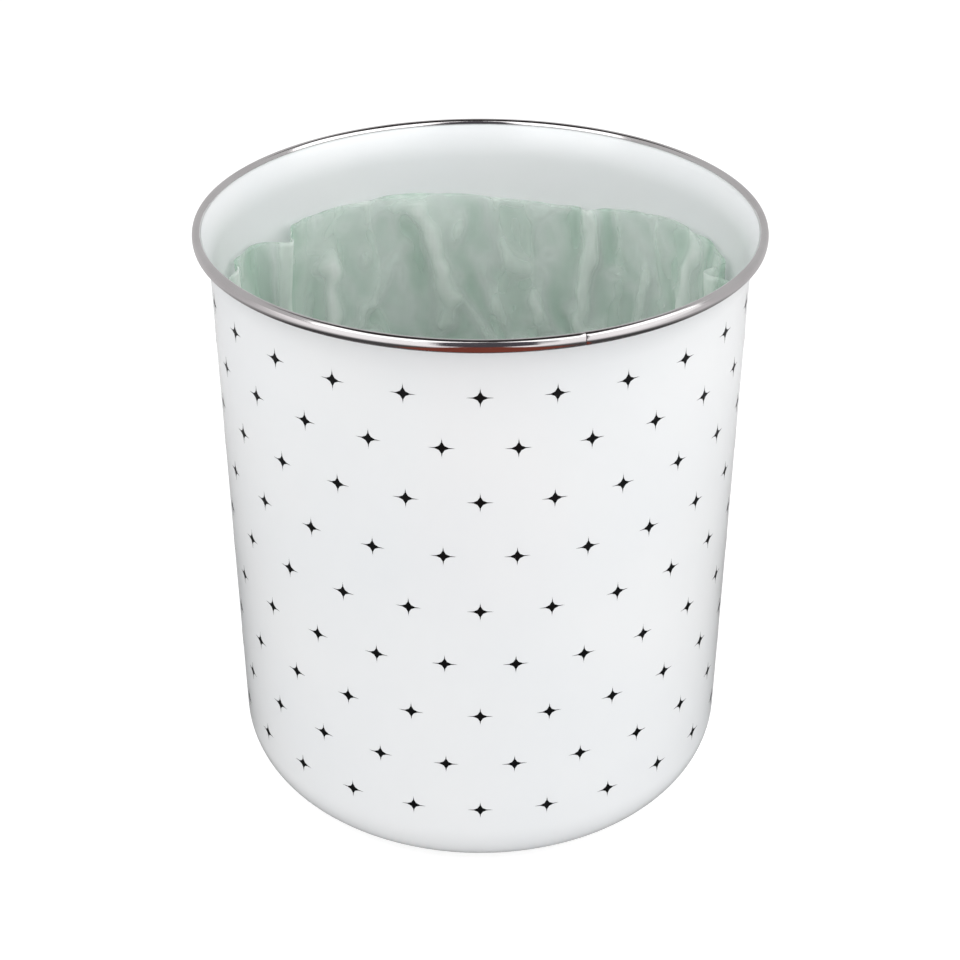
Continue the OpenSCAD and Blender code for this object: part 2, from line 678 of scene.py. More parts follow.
@dataclass(frozen=True)
class Stainless:
    """Polished stainless strip, with fine lines round it from rolling."""

    bright: Colour = (0.68, 0.66, 0.665)
    dull: Colour = (0.6, 0.575, 0.58)
    roughness: Point = (0.08, 0.17)
    scales: Point3 = (300.0, 3000.0, 40.0)
    lines_across: float = 6000.0
    lines_along: float = 8.0
    bump: float = 0.15
    line_height: float = 0.01 * MM

    def build(self) -> Material:
        """Build the material.

        Returns:
            The material.
        """
        colours = (self.bright, self.dull)
        material, patch, shader, uneven = start_uneven("stainless_polished", colours, self.scales)
        effect = place_effect(patch, Effect.HAIRLINES, Across=self.lines_across, Along=self.lines_along)
        lines = effect.outputs["Lines"]
        rough = patch.spread(patch.product(lines, uneven.outputs["Mask"]), (0.0, 0.6), self.roughness)
        patch.join(rough, shader.inputs["Roughness"])
        raise_surface(patch, shader, lines, self.bump, self.line_height)
        patch.feed(shader, Metallic=1.0)
        return material


@dataclass(frozen=True)
class LinerFilm:
    """Thin pale green film: hazy, see-through, denser where it is seen edge-on or was creased, with painted
    shade in the hollows of its folds and a painted highlight on their ridges, creases and wrinkles.
    """

    # Painted shade: the deeper green that is laid in the hollows of the folds.
    hollow_shade_green: Colour = (0.5, 0.7, 0.57)
    green: Colour = (0.69, 0.865, 0.745)
    # Whitest colour: of overlapping veils of film, and of the painted highlight on creases, wrinkles and
    # fold ridges.
    white: Colour = (0.95, 0.985, 0.955)
    cover: Point = (0.13, 0.62)
    edge_cover: float = 0.3
    roughness: Point = (0.22, 0.4)
    drift_scale: float = 38.0
    wander: float = 0.012
    upright: Point3 = (1.0, 1.0, 0.5)
    crease_scale: float = 36.0
    wrinkle_scale: float = 82.0
    cloud_scale: float = 22.0
    fine_scale: float = 130.0
    veil_scale: float = 17.0
    veils: float = 5.0
    veils_from: Point = (0.012, 0.04)
    bump: float = 0.9
    crease_height: float = 0.9 * MM

    def build(self) -> Material:
        """Build the material.

        Returns:
            The material.
        """
        material, patch, shader = start_material("film_green")
        place = patch.place()
        long = self.wandering(patch, place)
        longer = patch.stretch(long, self.upright)
        creases = patch.spread(self.ridges(patch, long, self.crease_scale), (0.8, 1.7))
        wrinkles = patch.spread(self.ridges(patch, long, self.wrinkle_scale), (1.0, 1.9), (0.0, 0.45))
        veils = self.veil(patch, patch.noise(longer, self.veil_scale, 1.0))
        veil = patch.product(veils, patch.spread(patch.apart(place, "Z"), self.veils_from))
        fold = patch.add("Attribute", attribute_name=FOLD).outputs["Fac"]
        # Painted shade: 1 in the hollows of the folds and 0 off them, for a deeper green tint and a denser
        # cover there.
        hollow = patch.spread(fold, (-0.6, 0.0), (1.0, 0.0))
        # Whiter and denser where veils of film overlap, plus a painted highlight along creases, wrinkles and
        # the ridges of the folds.
        layers_and_painted_highlight = patch.sum(
            patch.spread(veil, UNIT, (0.0, 0.45)),
            patch.spread(creases, (0.3, 1.0), (0.0, 0.4)),
            wrinkles,
            patch.spread(fold, (0.05, 0.8), (0.0, 0.6)),
        )
        colour = patch.tint(layers_and_painted_highlight, patch.tint(hollow, self.green, self.hollow_shade_green), self.white)
        patch.join(colour, shader.inputs["Base Color"])
        dense = patch.sum(layers_and_painted_highlight, patch.spread(hollow, UNIT, (0.0, 0.4)))
        aslant = patch.feed(patch.add("LayerWeight"), Blend=0.45).outputs["Facing"]
        edge = patch.spread(aslant, (0.25, 1.0), (0.0, self.edge_cover))
        patch.join(patch.sum(patch.spread(dense, UNIT, self.cover), edge), shader.inputs["Alpha"])
        cloud = patch.noise(long, self.cloud_scale)
        patch.join(patch.spread(cloud, (0.3, 0.7), self.roughness), shader.inputs["Roughness"])
        fine = patch.spread(patch.noise(long, self.fine_scale), UNIT, (0.0, 0.3))
        low = patch.sum(patch.spread(veil, UNIT, (0.0, 0.5)), patch.spread(creases, UNIT, (0.0, 0.7)))
        raise_surface(patch, shader, patch.sum(low, wrinkles, fine), self.bump, self.crease_height)
        patch.feed(shader, IOR=1.55)
        return material

    def wandering(self, patch: Patch, place: Socket) -> Socket:
        """Move each place a little by a slow noise, and stretch the pattern upright.

        Args:
            patch: The material's patch.
            place: The place on the film.

        Returns:
            The moved place.
        """
        drift = patch.feed(patch.add("TexNoise"), Vector=place, Scale=self.drift_scale, Detail=1.0)
        moved = patch.add("VectorMath", operation="MULTIPLY_ADD")
        patch.join(drift.outputs["Color"], moved.inputs[0])
        moved.inputs[1].default_value = (self.wander,) * 3
        patch.join(place, moved.inputs[2])
        return patch.stretch(moved.outputs[0], self.upright)

    @staticmethod
    def ridges(patch: Patch, vector: Socket, scale: float) -> Socket:
        """Give thin ridges, which wander over the film.

        Args:
            patch: The material's patch.
            vector: The place on the film.
            scale: The ridges' scale, in turns a metre.

        Returns:
            The ridges, from 0 between them to about 2 on them.
        """
        node = patch.add("TexNoise", noise_type="RIDGED_MULTIFRACTAL", normalize=False)
        patch.feed(node, Vector=vector, Scale=scale, Detail=1.4, Roughness=0.5, Gain=2.0)
        return node.outputs["Fac"]

    def veil(self, patch: Patch, level: Socket) -> Socket:
        """Lay veils of film over each other: each is densest at its edge and fades away from it.

        Args:
            patch: The material's patch.
            level: A slow noise, whose level lines are the veils' edges.

        Returns:
            The veil's density, from 0 to 1.
        """
        part = patch.work("FRACT", patch.product(level, self.veils))
        return patch.product(patch.work("POWER", part, 3.0), patch.spread(part, (0.88, 1.0), (1.0, 0.0)))


# ---------------------------------------------------------------- sizes of the turned parts


@dataclass(frozen=True)
class CaddyForm:
    """Sizes of the turned steel parts, and the places that follow from them."""

    height: float
    wall_radius: float = 100 * MM
    sheet: float = 0.9 * MM
    lean: float = 1.0
    corner_radius: float = 24 * MM
    stand_width: float = 5 * MM
    recess_height: float = 1.5 * MM
    step_radius: float = 2.5 * MM
    flare_radius: float = 29 * MM
    flare_lean: float = 30.0
    lip_radius: float = 0.2 * MM
    lip_tail: float = 0.8 * MM
    band: float = 0.4 * MM
    band_height: float = 4.1 * MM
    band_leg: float = 0.7 * MM
    band_corner: float = 1.0 * MM
    band_clearance: float = 0.05 * MM
    seam_gap: float = 0.16 * MM
    seam_angle: float = -71.5

    @property
    def bead_radius(self) -> float:
        """Outer radius of the round top of the rim."""
        return self.lip_radius + self.sheet + self.band_clearance + self.band

    @property
    def flare_centre(self) -> Point:
        """Centre of the flare's arc, outside the body.

        Returns:
            Its radius and height.
        """
        top = self.bead[1] + self.lip_radius * sine(self.flare_lean)
        return (
            self.wall_radius + self.flare_radius * cosine(self.lean),
            top - self.flare_radius * sine(self.flare_lean),
        )

    @property
    def bead(self) -> Point:
        """Centre of the round top of the rim.

        Returns:
            Its radius and height.
        """
        reach = self.wall_radius + self.flare_radius * cosine(self.lean)
        inward = (self.flare_radius - self.lip_radius) * cosine(self.flare_lean)
        return (reach - inward, self.height - self.bead_radius)

    @property
    def wall_top(self) -> Point:
        """Top of the straight wall, outside."""
        return (self.wall_radius, self.flare_centre[1] + self.flare_radius * sine(self.lean))

    @property
    def wall_foot(self) -> Point:
        """Foot of the straight wall, outside."""
        low = self.corner_radius * (1 - sine(self.lean))
        return (self.wall_radius - (self.wall_top[1] - low) * math.tan(math.radians(self.lean)), low)

    @property
    def corner_centre(self) -> Point:
        """Centre of the corner between the wall and the base."""
        return (self.wall_foot[0] - self.corner_radius * cosine(self.lean), self.corner_radius)

    def outside(self, height: float) -> float:
        """Give the outside radius of the straight wall at a height."""
        return self.wall_foot[0] + (height - self.wall_foot[1]) * math.tan(math.radians(self.lean))

    def inside(self, height: float) -> float:
        """Give the inside radius of the corner and the straight wall.

        Args:
            height: How high above the floor.

        Returns:
            The radius there.
        """
        if height < self.wall_foot[1]:
            radius = self.corner_radius - self.sheet
            drop = min(self.corner_centre[1] - height, radius)
            return self.corner_centre[0] + math.sqrt(radius**2 - drop**2)
        return self.outside(height) - self.sheet / cosine(self.lean)


class Part:
    """A sub-assembly, which holds its sizes, builds its piece and gives it its finish."""

    def dress(self, piece: Piece) -> None:
        """Give the piece its finish."""
        dress(piece, self.finish.build())


# ---------------------------------------------------------------- the body


@dataclass
class EnamelBody(Part):
    """The drawn steel shell, enamelled inside and out, from the recess in its base to its rolled lip."""

    form: CaddyForm
    steps: int = 288
    wall_rows: int = 8
    finish: Enamel = field(default_factory=Enamel)

    def outline(self) -> Section:
        """Trace the sheet's section: along its outside, round the lip, and back along its inside.

        Returns:
            The section.
        """
        form = self.form
        lean, flare = form.lean, form.flare_lean
        bends = 2 * form.step_radius + form.sheet
        bend = math.degrees(math.acos(1 - form.recess_height / bends))
        ring = form.corner_centre[0] - form.stand_width
        recess = ring - bends * sine(bend)
        upper, lower = (recess, form.recess_height - form.step_radius), (ring, form.step_radius + form.sheet)
        inner_step, outer_step = form.step_radius, form.step_radius + form.sheet
        edge = form.bead[0] + form.lip_radius
        section = Section((0.0, form.recess_height))
        section.line((recess, form.recess_height), 3)
        section.arc(upper, inner_step, 90, 90 - bend, 4).arc(lower, outer_step, 270 - bend, 270, 4)
        section.arc(form.corner_centre, form.corner_radius, -90, -lean, 20)
        section.line(form.wall_top, self.wall_rows)
        section.arc(form.flare_centre, form.flare_radius, 180 - lean, 180 - flare, 14)
        section.arc(form.bead, form.lip_radius, 180 - flare, 0, 6)
        section.line((edge, form.bead[1] - form.lip_tail))
        section.line((edge + form.sheet, form.bead[1] - form.lip_tail))
        section.arc(form.bead, form.lip_radius + form.sheet, 0, 180 - flare, 12)
        section.arc(form.flare_centre, form.flare_radius + form.sheet, 180 - flare, 180 - lean, 14)
        section.line((form.inside(form.wall_foot[1]), form.wall_foot[1]), self.wall_rows)
        section.arc(form.corner_centre, form.corner_radius - form.sheet, -lean, -90, 20)
        section.arc(lower, inner_step, 270, 270 - bend, 4).arc(upper, outer_step, 90 - bend, 90, 4)
        return section.line((0.0, form.recess_height + form.sheet), 3)

    def build(self) -> Piece:
        """Turn the section, and let it stand for the CAD body.

        Returns:
            The shell.
        """
        body = turn("enamel_shell", self.outline(), self.steps)
        smooth(body, 50.0)
        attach(body, "caddy")
        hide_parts("enamel_body")
        return body


# ---------------------------------------------------------------- the rim


@dataclass
class RimBand(Part):
    """The stainless strip, closed over the rolled lip, with a butt joint where its ends meet."""

    form: CaddyForm
    steps: int = 288
    end_bevel: float = 0.11 * MM
    bulge: float = 18.0
    deeper: float = 0.5 * MM
    finish: Stainless = field(default_factory=Stainless)

    def outline(self) -> Section:
        """Trace the strip's hook section, from its rounded inner edge out, down, under and back.

        Its outer face is rolled slightly round, by the bulge's angle at each end, and its lower edge
        hangs a little deeper than the solid's, as it looks in the photograph.

        Returns:
            The section.
        """
        form = self.form
        across, up = cosine(form.flare_lean), sine(form.flare_lean)
        way, side = Vector((up, across)), Vector((across, -up))
        bead, half = Vector(form.bead), form.band / 2
        foot = bead - form.bead_radius * side - form.band_leg * way
        low = form.height - form.band_height - self.deeper
        under = low + form.band
        drop = under - form.flare_centre[1]
        inner_end = form.flare_centre[0] - math.sqrt(form.flare_radius**2 - drop**2) + form.band_clearance
        out = form.bead[0] + form.bead_radius
        corner = (out - form.band_corner, low + form.band_corner)
        top = 180 - form.flare_lean
        section = Section(tuple(foot))
        section.arc(form.bead, form.bead_radius, top, self.bulge, 22)
        upper, lower = section.end, Arc(corner, form.band_corner, 0, 0, 1).at(-self.bulge)
        rounding = math.dist(upper, lower) / 2 / sine(self.bulge)
        middle = ((upper[0] + lower[0]) / 2 - rounding * cosine(self.bulge), (upper[1] + lower[1]) / 2)
        section.arc(middle, rounding, self.bulge, -self.bulge, 5)
        section.arc(corner, form.band_corner, -self.bulge, -90, 8)
        section.line((inner_end, low))
        section.line((inner_end, under))
        section.arc(corner, form.band_corner - form.band, -90, 0, 6)
        section.arc(form.bead, form.bead_radius - form.band, 0, top, 16)
        edge = tuple(foot + half * side)
        section.arc(edge, half, -form.flare_lean, -form.flare_lean - 180, 6)
        return section

    def build(self) -> Piece:
        """Turn the section short of a full turn, and close and bevel its two ends.

        Returns:
            The strip.
        """
        form = self.form
        gap = form.seam_gap / (form.bead[0] + form.bead_radius)
        band = turn("rim_strip", self.outline(), self.steps, FULL_TURN - gap)
        pick(band)
        points = read_points(band)
        middle = self.gap_middle(np.arctan2(points[:, 1], points[:, 0]))
        band.rotation_euler.z = math.radians(form.seam_angle) - middle
        bpy.ops.object.transform_apply(location=False, rotation=True, scale=False)
        self.bevel_ends(band)
        smooth(band, 40.0)
        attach(band, "caddy")
        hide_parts("rim_band")
        return band

    @staticmethod
    def gap_middle(angles: np.ndarray) -> float:
        """Find the widest gap among angles.

        Args:
            angles: The angles, in radians.

        Returns:
            The angle of the gap's middle.
        """
        ordered = np.sort(angles)
        gaps = np.diff(np.append(ordered, ordered[0] + FULL_TURN))
        widest = int(np.argmax(gaps))
        return float(ordered[widest] + gaps[widest] / 2)

    def bevel_ends(self, band: Piece) -> None:
        """Bevel the edges round the strip's two end faces, which have the most corners.

        Args:
            band: The strip.
        """
        with editing(band, "DESELECT"):
            bpy.ops.mesh.select_mode(type="FACE")
            bpy.ops.mesh.select_face_by_sides(number=5, type="GREATER")
            bpy.ops.mesh.bevel(offset=self.end_bevel, segments=2, affect="EDGES")
            bpy.ops.mesh.select_mode(type="VERT")


# ---------------------------------------------------------------- the print


@dataclass
class StarPrint(Part):
    """Small four-pointed stars, printed in a lattice on the wall and fired."""

    form: CaddyForm
    half_width: float = 4.65 * MM
    half_height: float = 4.1 * MM
    power: float = 0.44
    quarter_parts: int = 6
    columns: int = 24
    rows: int = 9
    first_drop: float = 23.5 * MM
    widest_gap: float = 23.15 * MM
    widest_row: float = 4.1
    gap_loss: float = 0.21 * MM
    ink: float = 0.05 * MM
    sunk: float = 0.04 * MM
    finish: PrintInk = field(default_factory=PrintInk)

    def row_heights(self) -> list[float]:
        """Work out the height of each row, from the top: the rows stand widest apart in the middle.

        Returns:
            The heights.
        """
        heights = [self.form.height - self.first_drop]
        for row in range(self.rows - 1):
            gap = self.widest_gap - self.gap_loss * (row - self.widest_row) ** 2
            heights.append(heights[-1] - gap)
        return heights

    def star_path(self, centre: Vector) -> list[Vector]:
        """Give the outline of one star, flat against the front of the wall.

        Args:
            centre: The star's middle.

        Returns:
            The outline's points, once round.
        """
        path = []
        for i in range(4 * self.quarter_parts + 1):
            angle = FULL_TURN * i / (4 * self.quarter_parts)
            ways = (math.cos(angle), math.sin(angle))
            x, z = (math.copysign(abs(way) ** (2 / self.power), way) for way in ways)
            path.append(centre + Vector((x * self.half_width, 0.0, z * self.half_height)))
        return path

    def build(self, wall: Piece) -> Piece:
        """Model one star, copy it down two columns, turn those round, and lay them on the wall.

        Args:
            wall: The enamelled shell that carries the print.

        Returns:
            The print as one piece.
        """
        heights = self.row_heights()
        first = Vector((0.0, -self.form.outside(heights[0]), heights[0]))
        path = self.star_path(first)
        stars = start_vertex("star_print", path[0])
        for here, there in zip(path, path[1:]):
            draw_to(there - here)
        bpy.ops.mesh.select_all(action="SELECT")
        bpy.ops.mesh.remove_doubles(threshold=MERGE_DISTANCE)
        bpy.ops.mesh.edge_face_add()
        bpy.ops.mesh.poke()
        for row in range(1, self.rows):
            drop = heights[row] - heights[row - 1]
            inward = self.form.outside(heights[row - 1]) - self.form.outside(heights[row])
            bpy.ops.mesh.duplicate()
            if row % 2 == 0:
                self.swing(-math.pi / self.columns)
            bpy.ops.transform.translate(value=(0.0, inward, drop))
            if row % 2 == 1:
                self.swing(math.pi / self.columns)
        bpy.ops.mesh.select_all(action="SELECT")
        others = self.columns - 1
        sweep = FULL_TURN * others / self.columns
        bpy.ops.mesh.spin(steps=others, dupli=True, angle=sweep, center=(0, 0, 0), axis=(0, 0, 1))
        bpy.ops.object.mode_set(mode="OBJECT")
        self.lay_on(stars, wall)
        smooth(stars, 30.0)
        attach(stars, "caddy")
        return stars

    @staticmethod
    def swing(angle: float) -> None:
        """Turn what is selected round the caddy's axis."""
        bpy.ops.transform.rotate(value=angle, orient_axis="Z", center_override=(0, 0, 0))

    def lay_on(self, stars: Piece, wall: Piece) -> None:
        """Wrap the flat stars on the wall, and give them the ink's thickness.

        Args:
            stars: The stars.
            wall: The enamelled shell.
        """
        wrap = stars.modifiers.new("wrap", "SHRINKWRAP")
        wrap.target = wall
        wrap.wrap_method = "NEAREST_SURFACEPOINT"
        wrap.wrap_mode = "ABOVE_SURFACE"
        wrap.offset = self.ink
        apply_modifiers(stars)
        with editing(stars):
            bpy.ops.mesh.normals_make_consistent(inside=False)
        thick = stars.modifiers.new("thick", "SOLIDIFY")
        thick.thickness = self.ink + self.sunk
        thick.offset = -1.0
        apply_modifiers(stars)


# ---------------------------------------------------------------- the bag


@dataclass(frozen=True)
class Wave:
    """A slow wave round the bag: its crests in a turn, its size, and its start in degrees."""

    crests: int
    size: float
    start: float

    def at(self, angles: np.ndarray) -> np.ndarray:
        """Give the wave at angles in radians."""
        return self.size * np.sin(self.crests * angles + math.radians(self.start))


@dataclass(frozen=True)
class Settling:
    """How the film and the wall behave while the bag settles, both at a larger scale."""

    scale: float = 10.0
    frames: int = 14
    film: tuple[tuple[str, float], ...] = (
        ("quality", 6),
        ("mass", 0.05),
        ("tension_stiffness", 40.0),
        ("compression_stiffness", 40.0),
        ("shear_stiffness", 15.0),
        ("bending_stiffness", 1.0),
        ("air_damping", 1.5),
        ("use_pressure", True),
        ("uniform_pressure_force", 0.3),
    )
    touch: tuple[tuple[str, float], ...] = (("distance_min", 0.012), ("friction", 2.0))
    wall: tuple[tuple[str, float], ...] = (
        ("thickness_outer", 0.006),
        ("thickness_inner", 0.1),
        ("cloth_friction", 3.0),
    )


@dataclass
class LinerBag(Part):
    """The film bag: a loose tube with a closed bottom and upright folds, crumpled by simulation."""

    form: CaddyForm
    floor: float
    clearance: float = 0.5 * MM
    hem_drop: float = 29 * MM
    hem_wave: float = 4 * MM
    hem_waves: tuple[Wave, ...] = (Wave(3, 0.6, 20), Wave(5, 0.4, -70))
    folds: int = 13
    fold_depth: float = 7.5 * MM
    fold_foot: float = 4 * MM
    fold_waves: tuple[Wave, ...] = (Wave(2, 5.0, 30), Wave(3, 2.5, -50))
    fold_swell: Wave = Wave(5, 0.25, 40)
    pleat_share: float = 0.72
    pleat_drift: float = 50.0
    crease_drift: float = -60.0
    crease_wander: float = 25.0
    flop: float = 0.5
    crumple: float = 2.2 * MM
    crease_sets: tuple[tuple[float, Point], ...] = ((0.6, (42.0, 15.0)), (0.4, (85.0, 40.0)))
    film: float = 0.14 * MM
    around: int = 192
    room_steps: int = 128
    wall_rows: int = 44
    corner_rows: int = 12
    floor_rows: int = 8
    start_gap: float = 0.8 * MM
    growth: float = 0.04
    flat_width: float = 0.67
    flat_length: float = 0.3
    settling: Settling = Settling()
    wall_reach: Point = (70 * MM, 15 * MM)
    fold_levels: tuple[tuple[int, float], ...] = ((10, 0.5 * MM), (70, 2.0 * MM))
    marked_from: Point = (12 * MM, 20 * MM)
    finish: LinerFilm = field(default_factory=LinerFilm)

    def hem_heights(self, angles: np.ndarray) -> np.ndarray:
        """Give the heights of the hem at angles from +X."""
        wave = sum(wave.at(angles) for wave in self.hem_waves)
        return self.form.height - self.hem_drop + self.hem_wave * wave

    def fold_shares(self, angles: np.ndarray, up: np.ndarray) -> np.ndarray:
        """Give the depth of the folds as a share.

        Args:
            angles: Angles from +X, in radians.
            up: Shares of the wall's height, from its foot to the hem.

        Returns:
            For each, 0 at the wall and 1 at the deepest.
        """
        way = self.folds * (angles + np.radians(sum(wave.at(angles) for wave in self.fold_waves)))
        swell = 1 - self.fold_swell.size + self.fold_swell.at(angles)
        pleat = np.abs(np.sin(way / 2 + math.radians(self.pleat_drift) * up)) ** 3
        aside = math.radians(self.crease_wander) * np.sin(2 * angles) + math.radians(self.crease_drift) * up
        crease = np.sin(way + aside) ** 2
        return swell * (self.pleat_share * pleat + (1 - self.pleat_share) * crease)

    def loose_tube(self) -> Piece:
        """Turn the bag's tube a little inside the wall, fold it, and crumple it slightly.

        Returns:
            The loose bag.
        """
        low, top = self.floor, self.form.height - self.hem_drop
        section = Section((0.0, low)).line((self.form.inside(low) - self.start_gap, low), self.floor_rows)
        for row in range(1, self.wall_rows + 1):
            height = low + (top - low) * row / self.wall_rows
            section.line((self.form.inside(height) - self.start_gap, height))
        bag = turn("liner_film", section, self.around)
        points = read_points(bag)
        radii, angles = np.hypot(points[:, 0], points[:, 1]), np.arctan2(points[:, 1], points[:, 0])
        heights, foot = points[:, 2].copy(), self.form.wall_foot[1]
        up = np.clip((heights - foot) / (top - foot), 0, 1)
        corner = np.clip((heights - low) / (foot - low), 0, 1) ** 2
        depth = corner * (self.fold_foot + (self.fold_depth - self.fold_foot) * up) * (1 + self.flop * up**4)
        folded = depth * self.fold_shares(angles, up)
        creases = sum(share * self.crease_lines(points, *scales) for share, scales in self.crease_sets)
        inward = (folded + self.crumple * creases * (heights > low + MM)) / np.maximum(radii, MM)
        points[:, :2] *= 1 - inward[:, None]
        points[:, 2] += (self.hem_heights(angles) - top) * (heights - low) / (top - low)
        write_points(bag, points)
        return bag

    @staticmethod
    def crease_lines(points: np.ndarray, across: float, up: float) -> np.ndarray:
        """Give thin wandering creases, where a noise goes through zero.

        Args:
            points: Places on the bag.
            across: The noise's scale across the bag, in turns a metre.
            up: Its scale up the bag.

        Returns:
            For each place, 1 on a crease and 0 off it.
        """
        places = (Vector((x * across + z * up, y * across - z * up / 2, z * up)) for x, y, z in points)
        slow = [noise.noise(place) for place in places]
        return np.clip(1 - 5 * np.abs(slow), 0, 1) ** 1.5

    def room(self) -> Piece:
        """Turn the inside of the body as a wall for the simulation, with its faces towards the bag.

        Returns:
            The wall.
        """
        form = self.form
        section = Section((0.0, self.floor - self.clearance))
        section.line((form.inside(self.floor), self.floor - self.clearance), 3)
        for row in range(1, self.corner_rows + 1):
            height = self.floor + (form.wall_foot[1] - self.floor) * row / self.corner_rows
            section.line((form.inside(height), height))
        section.line((form.inside(form.height), form.height), 6)
        room = turn("room_for_bag", section, self.room_steps)
        with editing(room):
            bpy.ops.mesh.flip_normals()
        return room

    def settle(self, bag: Piece) -> None:
        """Let the film grow a little so that it crumples and sags freely in the body, at a larger scale.

        Args:
            bag: The loose bag, in real size. It is left in real size.
        """
        room, settling = self.room(), self.settling
        for piece in (room, bag):
            pick(piece)
            piece.scale = (settling.scale,) * 3
            bpy.ops.object.transform_apply(location=False, rotation=False, scale=True)
        room.modifiers.new("wall", "COLLISION")
        cloth = bag.modifiers.new("cloth", "CLOTH")
        cloth.settings.shrink_min = cloth.settings.shrink_max = -self.growth
        holders = (cloth.settings, cloth.collision_settings, room.collision)
        for holder, values in zip(holders, (settling.film, settling.touch, settling.wall)):
            for name, value in values:
                setattr(holder, name, value)
        cloth.point_cache.frame_start, cloth.point_cache.frame_end = 1, settling.frames
        for step in range(1, settling.frames + 1):
            bpy.context.scene.frame_set(step)
        apply_modifiers(bag)
        bpy.context.scene.frame_set(1)
        bpy.data.objects.remove(room)
        write_points(bag, read_points(bag) / settling.scale)

    def seat(self, bag: Piece) -> None:
        """Bring the hem to its heights, and keep the film clear of the wall and the floor.

        Args:
            bag: The settled bag.
        """
        points = read_points(bag)
        angles = np.arctan2(points[:, 1], points[:, 0])
        radii = np.hypot(points[:, 0], points[:, 1])
        hem = self.hem_of(bag)
        order = np.argsort(angles[hem])
        hem_angles, hem_heights = angles[hem][order], points[hem, 2][order]
        reached = np.interp(angles, hem_angles, hem_heights, period=FULL_TURN)
        wanted = self.hem_heights(angles)
        up = np.clip((points[:, 2] - self.floor) / (reached - self.floor), 0, 1)
        wall_part = np.clip((radii - self.wall_reach[0]) / self.wall_reach[1], 0, 1)
        points[:, 2] += (wanted - reached) * up * wall_part
        points[:, 2] = np.maximum(points[:, 2], self.floor + self.film)
        room = np.array([self.form.inside(z) for z in points[:, 2]]) - self.clearance - self.film
        points[:, :2] *= np.minimum(1.0, room / np.maximum(radii, MM))[:, None]
        write_points(bag, points)

    @staticmethod
    def hem_of(bag: Piece) -> np.ndarray:
        """Find the bag's open edge.

        Args:
            bag: The bag.

        Returns:
            The indices of the vertices on it.
        """
        uses: dict[tuple[int, int], int] = {}
        for face in bag.data.polygons:
            for key in face.edge_keys:
                uses[key] = uses.get(key, 0) + 1
        return np.array(sorted({v for key, count in uses.items() if count == 1 for v in key}))

    def build(self) -> Piece:
        """Make the bag, let it settle, and give the film its thickness.

        Returns:
            The bag.
        """
        bag = self.loose_tube()
        self.settle(bag)
        self.seat(bag)
        finer = bag.modifiers.new("finer", "SUBSURF")
        finer.levels = finer.render_levels = 1
        thick = bag.modifiers.new("thick", "SOLIDIFY")
        thick.thickness = self.film
        thick.offset = 0.0
        apply_modifiers(bag)
        pick(bag)
        bpy.ops.object.shade_smooth()
        self.mark_folds(bag)
        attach(bag, "liner")
        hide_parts("liner_bag")
        return bag

    def mark_folds(self, bag: Piece) -> None:
        """Store how far the film stands in from the film round it, from -1 in a hollow to 1 on a ridge.

        Args:
            bag: The bag.
        """
        points = read_points(bag)
        edges = np.empty(2 * len(bag.data.edges), dtype=np.int64)
        bag.data.edges.foreach_get("vertices", edges)
        first, second = edges[0::2], edges[1::2]
        count = len(points)
        uses = np.bincount(edges, minlength=count)
        radii = np.hypot(points[:, 0], points[:, 1])
        share = np.zeros(count)
        for rounds, reach in self.fold_levels:
            level = radii.copy()
            for _ in range(rounds):
                total = np.bincount(first, level[second], count) + np.bincount(second, level[first], count)
                level = 0.5 * level + 0.5 * total / uses
            share += np.clip((level - radii) / reach, -1, 1) / len(self.fold_levels)
        on_wall = np.clip((points[:, 2] - self.marked_from[0]) / self.marked_from[1], 0, 1)
        # The film's material reads this to paint shade in the hollows and a highlight on the ridges.
        bag.data.attributes.new(FOLD, "FLOAT", "POINT").data.foreach_set("value", share * on_wall)


# ---------------------------------------------------------------- the studio


@dataclass(frozen=True)
class Softbox:
    """A large soft lamp, aimed at the middle of the caddy."""

    azimuth: float
    elevation: float
    distance: float
    width: float
    height: float
    power: float
    colour: Colour = (1.0, 1.0, 1.0)
    mirrored: bool = True

    def build(self, target: Vector) -> Piece:
        """Put the lamp in the scene.

        Args:
            target: Where it points.

        Returns:
            The lamp.
        """
        around, up = math.radians(self.azimuth), math.radians(self.elevation)
        way = Vector((math.sin(around) * math.cos(up), -math.cos(around) * math.cos(up), math.sin(up)))
        deselect_all()
        bpy.ops.object.light_add(type="AREA", location=target + way * self.distance)
        lamp = bpy.context.object
        lamp.rotation_euler = (-way).to_track_quat("-Z", "Y").to_euler()
        lamp.data.shape = "RECTANGLE"
        lamp.data.size = self.width
        lamp.data.size_y = self.height
        lamp.data.energy = self.power
        lamp.data.color = self.colour
        lamp.visible_glossy = self.mirrored
        return lamp


@dataclass(frozen=True)
class Card:
    """A glowing or dark card that only shows in reflections, as the room does in polished steel."""

    place: Point3
    turned: Point3
    size: Point
    glow: Colour

    def build(self, number: int) -> Piece:
        """Hang the card.

        Args:
            number: Its number among the cards.

        Returns:
            The card.
        """
        deselect_all()
        angles = tuple(math.radians(angle) for angle in self.turned)
        bpy.ops.mesh.primitive_plane_add(size=1.0, location=self.place, rotation=angles)
        card = bpy.context.object
        card.name = f"studio_card_{number}"
        card.scale = (*self.size, 1.0)
        bpy.ops.object.transform_apply(location=False, rotation=False, scale=True)
        for rays in ("camera", "diffuse", "transmission", "shadow"):
            setattr(card, f"visible_{rays}", False)
        material = bpy.data.materials.new(f"card_{number}")
        patch, surface = start_stage(material, "Principled BSDF")
        patch.join(patch.glow(self.glow), surface)
        dress(card, material)
        return card


